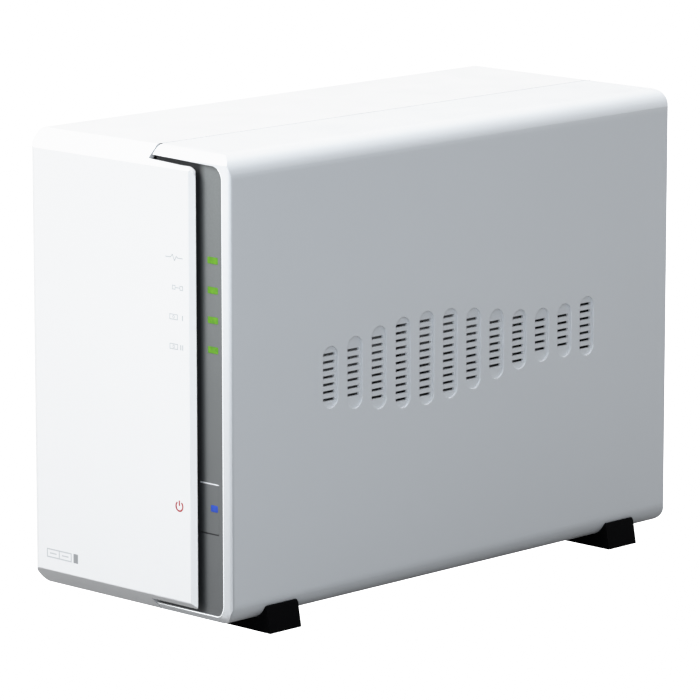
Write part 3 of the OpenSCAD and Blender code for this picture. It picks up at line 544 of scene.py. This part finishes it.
# power mark level with the key: a ring open at the top and a bar standing in the gap
POWER_X = 26.0
POWER_HALF_GAP = 38
key_low, key_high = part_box("power_button")
power_z = (key_low.z + key_high.z) / 2 / MM
print_mark("mark_power",
           arc(POWER_X, power_z, inner=1.4, line=0.5, start=90 + POWER_HALF_GAP,
               end=450 - POWER_HALF_GAP, steps=26)
           + [rect(POWER_X - 0.25, POWER_X + 0.25, power_z + 0.15, power_z + 2.0)], ink_red)

# ---------------------------------------------------------------- painted highlight and painted shadow in the key's gaps
# the key's flange behind the strip is wider than its face all round
KEY_FLANGE = 1.2
KEY_LINE_LEFT = 31.4
KEY_LINE_RIGHT = key_high.x / MM - KEY_FLANGE + 0.1
STRIP_Y = key_low.y / MM
key_top = key_high.z / MM - KEY_FLANGE
key_bottom = key_low.z / MM + KEY_FLANGE


def paint_key_line(name, z0, z1, proud, surface):
    """Thin ridge along X in a gap by the key, a painted highlight when white and a painted shadow
    when black: a low ridge with sloping flanks and narrowing ends.
    """
    y, middle = STRIP_Y, (z0 + z1) / 2
    rings = []
    # X and fullness of each station
    for x, full in ((KEY_LINE_LEFT, 0.0), (KEY_LINE_LEFT + 0.6, 1.0),
                    (KEY_LINE_RIGHT - 0.9, 1.0), (KEY_LINE_RIGHT, 0.35)):
        half = (z1 - z0) / 2 * (0.45 + 0.55 * full)
        flank = y - proud * 0.6 * full
        section = [(y + 0.05, middle - half), (flank, middle - half),
                   (y - proud * full - 0.02, middle),
                   (flank, middle + half), (y + 0.05, middle + half)]
        rings.append([(x * MM, py * MM, pz * MM) for py, pz in section])
    loft(name, rings, surface)


# painted highlight: a white ridge in the key's top gap
paint_key_line("key_painted_highlight", key_top + 0.02, key_top + 0.50, 0.14, SURFACES["white_shell"])
# painted shadow: a black ridge in the key's lower gap
paint_key_line("key_gap_painted_shadow", key_bottom - 0.40, key_bottom + 0.06, 0.02, SURFACES["black_plastic"])


# ---------------------------------------------------------------- beads: a painted highlight on the rim and painted shade in the seam
def bead(name, path, shifts, radius, surface, sides=8):
    """Fine bead along a path (mm), each point moved by its shift into the material."""
    rings = []
    last = len(path) - 1
    for i, (point, shift) in enumerate(zip(path, shifts)):
        along = (path[min(i + 1, last)] - path[max(i - 1, 0)]).normalized()
        up = Vector((1, 0, 0)) if abs(along.y) > 0.9 else Vector((0, 1, 0))
        u = (up - along * along.dot(up)).normalized()
        v = along.cross(u)
        taper = 0.35 if i in (0, last) else 1.0
        centre = point + shift
        angles = [2 * math.pi * j / sides for j in range(sides)]
        rings.append([(centre + (u * math.cos(a) + v * math.sin(a)) * radius * taper) * MM
                      for a in angles])
    loft(name, rings, surface, smooth=True)


def rim_order(point):
    """Sort key: along the foot towards +X, round the corner, then up the side."""
    if point.z >= 40:
        return 100 + point.z
    return point.x if point.x < 43.5 else 43.5 + point.z * 0.01


def rim_painted_highlight():
    """Painted highlight on the edge of the strip's opening: a bright, glowing bead along its foot
    and up its +X side.
    """
    s = plastic("painted_highlight_bright", (0.93, 0.935, 0.94), rough=0.3, drift=0.01, grain=1500,
                depth=0.000003)
    # the painted highlight glows more towards -X, under the panel that shades it
    glow = s.remap(s.axes(s.coords)["X"], to=(0.72, 0.26), span=(0.0315, 0.0355))
    s.set({"Emission Color": (0.95, 0.98, 1.0), "Emission Strength": glow})
    found = {}
    for vertex in NODES["main_shell"].data.vertices:
        point = vertex.co / MM
        if in_rim(point, 1):
            found[(round(point.x, 2), round(point.z, 2))] = point
    points = sorted(found.values(), key=rim_order)
    path, shifts = [], []
    for i, point in enumerate(points):
        along = points[min(i + 1, len(points) - 1)] - points[max(i - 1, 0)]
        outward = Vector((along.z, 0, -along.x))
        if outward.length < 1e-6:
            continue
        outward.normalize()
        path.append(point)
        shifts.append(outward * 0.10 + Vector((0, 0.10, 0)))
    bead("rim_painted_highlight", path, shifts, 0.21, s)


def painted_seam_shade():
    """Dark line along Y near the top of the cover: painted shade inside the seam."""
    s = plastic("seam_shade_dark", (0.035, 0.036, 0.037), rough=0.7, grain=1500, depth=0.000003)
    path = [Vector((10.2, y, COVER_TOP - 0.095))
            for y in (-105.8, -105.2, -60, 0, 60, 112.0, 112.4)]
    bead("painted_seam_shade", path, [Vector((0, 0, 0))] * len(path), 0.115, s)


rim_painted_highlight()
painted_seam_shade()

# ---------------------------------------------------------------- marks low on the cover
BAYS_LEFT = -40.6
BAYS_Z = 17.0
BAYS_WIDTH = 12.6
BAYS_HALF_HEIGHT = 1.6
BAYS_LINE = 0.42
bays_low, bays_high = BAYS_Z - BAYS_HALF_HEIGHT, BAYS_Z + BAYS_HALF_HEIGHT
bays_right = BAYS_LEFT + BAYS_WIDTH
bays_middle = BAYS_LEFT + BAYS_WIDTH / 2
print_mark("mark_two_bays",
           box_outline(BAYS_LEFT, bays_right, bays_low, bays_high, BAYS_LINE)
           + [rect(bays_middle - 0.2, bays_middle + 0.2,
                   bays_low + BAYS_LINE, bays_high - BAYS_LINE)]
           + [rect(x, x + 3.3, BAYS_Z - 0.2, BAYS_Z + 0.2)
              for x in (BAYS_LEFT + 1.6, BAYS_LEFT + 7.7)], ink_grey)
print_mark("mark_bar", [rect(bays_right + 1.0, bays_right + 3.2, bays_low, bays_high)], ink_dark)

# ---------------------------------------------------------------- floor and world
BACKDROP = 2.4  # brightness of floor and world as the camera sees them


def add_floor():
    """Matt floor that looks almost white to the camera but reflects as grey."""
    graph = Graph(bpy.data.materials.new("floor_pale"))
    matt = graph.node("BsdfPrincipled", {
        "Base Color": (0.22, 0.22, 0.22), "Roughness": 0.9, "Specular IOR Level": 0.1})
    glow = graph.node("Emission", {"Color": (1, 1, 1), "Strength": BACKDROP})
    seen = graph.node("LightPath").outputs["Is Camera Ray"]
    share = graph.math("MULTIPLY", seen, 0.90)
    mixed = graph.node("MixShader", {0: share, 1: matt.outputs[0], 2: glow.outputs[0]})
    graph.put(graph.output.inputs[0], mixed.outputs[0])
    bm = bmesh.new()
    bmesh.ops.create_grid(bm, x_segments=8, y_segments=8, size=14.0)
    floor = add_mesh("floor", bm, graph)
    floor.location.z = -0.0002


def add_world():
    """Soft light for the scene, and a brighter background for the camera only."""
    world = bpy.data.worlds.new("studio")
    bpy.context.scene.world = world
    graph = Graph(world, output="OutputWorld")
    # Background inputs: 0 colour, 1 strength
    ambient = graph.node("Background", {0: (0.98, 0.99, 1.0), 1: 0.455})
    backdrop = graph.node("Background", {0: (1, 1, 1), 1: BACKDROP})
    seen = graph.node("LightPath").outputs["Is Camera Ray"]
    mixed = graph.node("MixShader", {0: seen, 1: ambient.outputs[0], 2: backdrop.outputs[0]})
    graph.put(graph.output.inputs[0], mixed.outputs[0])


add_floor()
add_world()


# ---------------------------------------------------------------- lights and camera
def area(name, place, target, size, power, colour=(1, 1, 1)):
    light = bpy.data.lights.new(name, "AREA")
    light.shape = "SQUARE"
    light.size = size
    light.energy = power
    light.color = colour
    obj = bpy.data.objects.new(name, light)
    obj.location = place
    aim = Vector(target) - Vector(place)
    obj.rotation_euler = aim.to_track_quat("-Z", "Y").to_euler()
    bpy.context.scene.collection.objects.link(obj)


area("key", place=(-0.7, -2.55, 1.75), target=(0, 0, 0.08), size=2.2, power=88)
area("top", place=(0.0, 0.5, 2.6), target=(0, 0, 0.1), size=1.6, power=35)
area("fill", place=(0.9, -0.9, 0.55), target=(0, 0, 0.08), size=0.6, power=4.1,
     colour=(0.74, 0.87, 1.0))

AZIMUTH = math.radians(44.166)  # from -Y towards +X
ELEVATION = math.radians(10.861)
DISTANCE = 1.7735
AIM = Vector((0, 0, 0.0825))

view = Vector((-math.sin(AZIMUTH) * math.cos(ELEVATION),
               math.cos(AZIMUTH) * math.cos(ELEVATION), -math.sin(ELEVATION)))
lens = bpy.data.cameras.new("camera")
camera = bpy.data.objects.new("camera", lens)
camera.matrix_world = (Matrix.Translation(AIM - view * DISTANCE)
                       @ view.to_track_quat("-Z", "Y").to_matrix().to_4x4())
lens.sensor_width = 36.0
lens.lens = 256.8342857
lens.shift_x = -0.0102142857
lens.shift_y = -0.0167142857
lens.clip_start = 0.05
lens.clip_end = 60
bpy.context.scene.collection.objects.link(camera)
bpy.context.scene.camera = camera

# soft shoulder for the highlights, so that the bright faces keep their edges
WHITE = 3.0
# scene brightness, displayed brightness
SHOULDER = ((0.6, 0.6), (0.8, 0.795), (0.95, 0.905), (1.1, 0.95), (1.4, 0.98), (2.0, 1.0))
display = bpy.context.scene.view_settings
display.view_transform = "Standard"
display.use_curve_mapping = True
mapping = display.curve_mapping
mapping.clip_max_x = WHITE
curve = mapping.curves[3]
while len(curve.points) > 2:
    curve.points.remove(curve.points[1])
curve.points[0].location = (0, 0)
curve.points[1].location = (WHITE, 1.0)
for level, shown in SHOULDER:
    curve.points.new(level, shown)
for point in curve.points:
    point.handle_type = "AUTO_CLAMPED"
mapping.update()
